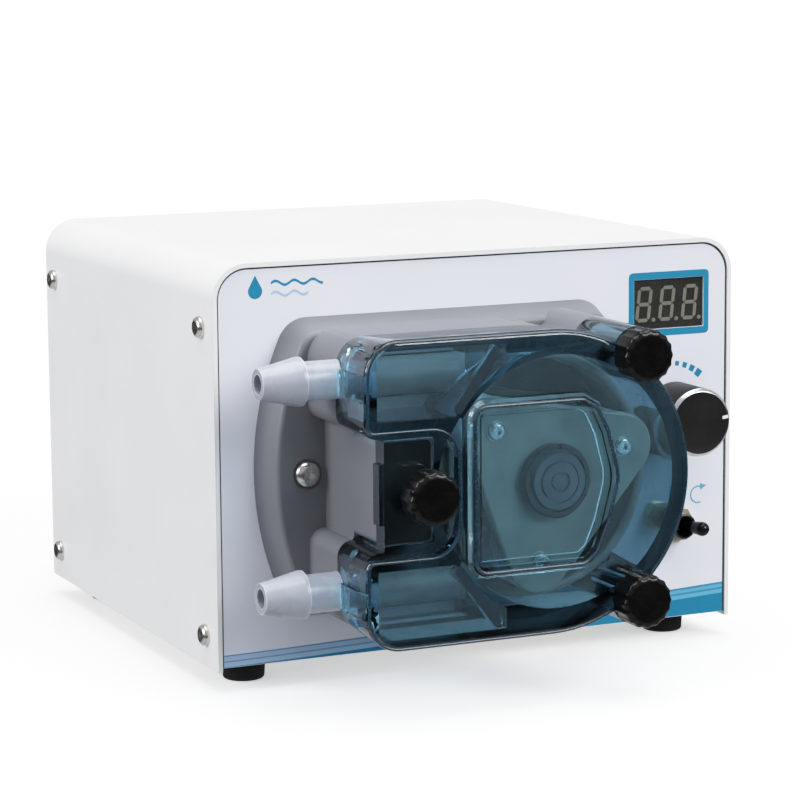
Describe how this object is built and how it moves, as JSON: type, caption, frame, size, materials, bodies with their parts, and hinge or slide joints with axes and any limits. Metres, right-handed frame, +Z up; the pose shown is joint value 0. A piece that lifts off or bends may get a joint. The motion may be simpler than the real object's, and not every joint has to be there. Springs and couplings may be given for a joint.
{
  "type": "peristaltic pump",
  "caption": "Desktop peristaltic pump: roller pump head under a tinted clear cover with hose barbs, digital display, speed knob and direction toggle on a white steel case.",
  "frame": {"origin": "centre of the bounding box in plan, on the plane under the feet", "axes": "+X to the user's right, -Y towards the user (the panel and pump head face -Y), +Z up"},
  "size_m": [0.1502, 0.1906, 0.108],
  "materials": {
    "white_paint": "satin powder coat",
    "zinc": "zinc plated",
    "label": "satin polycarbonate",
    "black_rubber": "matte",
    "stainless": "polished",
    "grey_plastic": "fine texture",
    "tinted_clear": "polished, tinted",
    "black_plastic": "satin",
    "cream_plastic": "smooth",
    "dark_plastic": "smooth",
    "natural_plastic": "translucent",
    "silicone": "translucent",
    "steel": "ground",
    "bronze": "sintered",
    "motor_cap": "machined",
    "motor_core": "laminated, black",
    "display_face": "matte",
    "segments": "unlit",
    "circuit_board": "solder mask",
    "brass_post": "turned",
    "knob_alu": "black anodised, spun face",
    "pointer": "printed line",
    "nickel": "plated",
    "components": "moulded"
  },
  "bodies": {
    "housing": {"shell": "white_paint", "base_tray": "zinc", "front_panel": "white_paint", "front_label": "label", "rear_panel": "white_paint", "feet": "black_rubber", "foot_screws": "stainless", "tray_screws": "stainless", "side_screws": "stainless", "head_body": "grey_plastic", "head_screws": "stainless", "head_bearing": "bronze", "pump_tube": "silicone", "barb_upper": "natural_plastic", "barb_lower": "natural_plastic", "motor_front_cap": "motor_cap", "motor_body": "motor_core", "motor_rear_cap": "motor_cap", "motor_screws": "stainless", "led_display": "display_face", "led_digits": "segments", "display_board": "circuit_board", "display_posts": "brass_post", "pot_body": "motor_cap", "pot_nut": "nickel", "toggle_body": "dark_plastic", "toggle_nut": "nickel", "board_posts": "brass_post", "control_board": "circuit_board", "board_parts": "components", "dc_jack": "dark_plastic", "dc_jack_nut": "nickel", "rocker_frame": "dark_plastic"},
    "cover": {"head_cover": "tinted_clear"},
    "thumb_top": {"thumb_cap_top": "black_plastic", "thumb_stud_top": "steel"},
    "thumb_bottom": {"thumb_cap_bottom": "black_plastic", "thumb_stud_bottom": "steel"},
    "thumb_left": {"thumb_cap_left": "black_plastic", "thumb_stud_left": "steel"},
    "rotor": {"rotor_back_plate": "cream_plastic", "rotor_front_plate": "cream_plastic", "rotor_core": "cream_plastic", "hub_cap": "dark_plastic", "roller_pins": "steel", "rotor_screws": "stainless", "drive_shaft": "steel"},
    "roller_a": {"roller_a": "natural_plastic"},
    "roller_b": {"roller_b": "natural_plastic"},
    "roller_c": {"roller_c": "natural_plastic"},
    "knob": {"speed_knob": "knob_alu", "knob_pointer": "pointer", "pot_shaft": "steel"},
    "toggle": {"toggle_lever": "black_plastic"},
    "rocker": {"power_rocker": "black_plastic"}
  },
  "joints": [
    {"name": "cover_slide", "type": "slide", "parent": "housing", "child": "cover", "axis": [0, -1, 0], "range_m": [0, 0.035]},
    {"name": "thumb_top_turn", "type": "hinge", "parent": "cover", "child": "thumb_top", "pos_m": [0.0189, -0.0886, 0.0861], "axis": [0, 1, 0], "continuous": true},
    {"name": "thumb_bottom_turn", "type": "hinge", "parent": "cover", "child": "thumb_bottom", "pos_m": [0.0189, -0.0886, 0.0253], "axis": [0, 1, 0], "continuous": true},
    {"name": "thumb_left_turn", "type": "hinge", "parent": "cover", "child": "thumb_left", "pos_m": [-0.0383, -0.0886, 0.0557], "axis": [0, 1, 0], "continuous": true},
    {"name": "rotor_spin", "type": "hinge", "parent": "housing", "child": "rotor", "pos_m": [-0.0015, -0.0673, 0.0557], "axis": [0, 1, 0], "continuous": true},
    {"name": "roller_a_spin", "type": "hinge", "parent": "rotor", "child": "roller_a", "pos_m": [0.01761, -0.0673, 0.06254], "axis": [0, 1, 0], "continuous": true},
    {"name": "roller_b_spin", "type": "hinge", "parent": "rotor", "child": "roller_b", "pos_m": [-0.01698, -0.0673, 0.06883], "axis": [0, 1, 0], "continuous": true},
    {"name": "roller_c_spin", "type": "hinge", "parent": "rotor", "child": "roller_c", "pos_m": [-0.00513, -0.0673, 0.03573], "axis": [0, 1, 0], "continuous": true},
    {"name": "speed_turn", "type": "hinge", "parent": "housing", "child": "knob", "pos_m": [0.0558, -0.05, 0.0614], "axis": [0, 1, 0], "range_deg": [-217, 53]},
    {"name": "toggle_tilt", "type": "hinge", "parent": "housing", "child": "toggle", "pos_m": [0.0571, -0.0425, 0.032], "axis": [0, 0, 1], "range_deg": [-32, 0]},
    {"name": "power_tilt", "type": "hinge", "parent": "housing", "child": "rocker", "pos_m": [-0.028, 0.088, 0.03], "axis": [1, 0, 0], "range_deg": [-16, 0]}
  ],
  "couplings": [
    {"joint": "roller_a_spin", "follows": "rotor_spin", "ratio": -3.6026},
    {"joint": "roller_b_spin", "follows": "rotor_spin", "ratio": -3.6026},
    {"joint": "roller_c_spin", "follows": "rotor_spin", "ratio": -3.6026}
  ]
}
